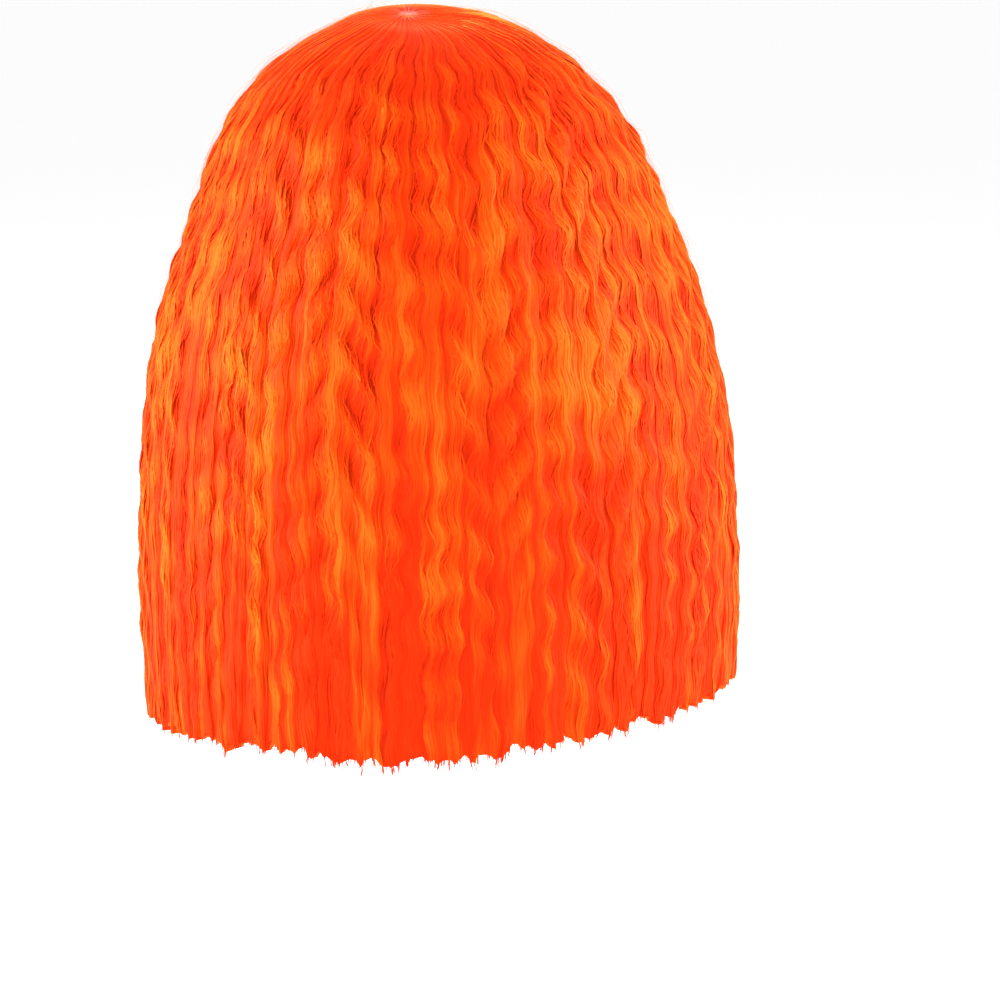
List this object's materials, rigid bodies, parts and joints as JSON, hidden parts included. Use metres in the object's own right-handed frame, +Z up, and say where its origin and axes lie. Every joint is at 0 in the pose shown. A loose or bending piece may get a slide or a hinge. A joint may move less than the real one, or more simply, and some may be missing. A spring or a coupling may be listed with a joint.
{
  "type": "wig with bangs",
  "caption": "Blunt-cut bob wig of crimped bright orange synthetic hair with straight bangs, falling from a whorl at the crown of a stretch cap that fits over a head.",
  "frame": {"origin": "inside top of the cap, where the crown of the wearer's head bears on it", "axes": "+Z up, -Y the way the wearer faces, +X to the wearer's left ear"},
  "size_m": [0.2802, 0.2364, 0.3376],
  "materials": {
    "hair_fibre": "crimped bright orange synthetic fibre with a soft sheen",
    "cap_net": "stretch net with sewn weft tracks",
    "scalp_skin": "flesh-pink skin-like film"
  },
  "bodies": {
    "root": {"crown_net": "cap_net", "front_band": "cap_net", "left_ear_panel": "cap_net", "nape_panel": "cap_net", "right_ear_panel": "cap_net", "scalp_patch": "scalp_skin", "middle_weft": "hair_fibre", "nape_weft": "hair_fibre", "left_side_hair": "hair_fibre", "back_hair": "hair_fibre", "right_side_hair": "hair_fibre", "bangs": "hair_fibre"}
  },
  "joints": []
}
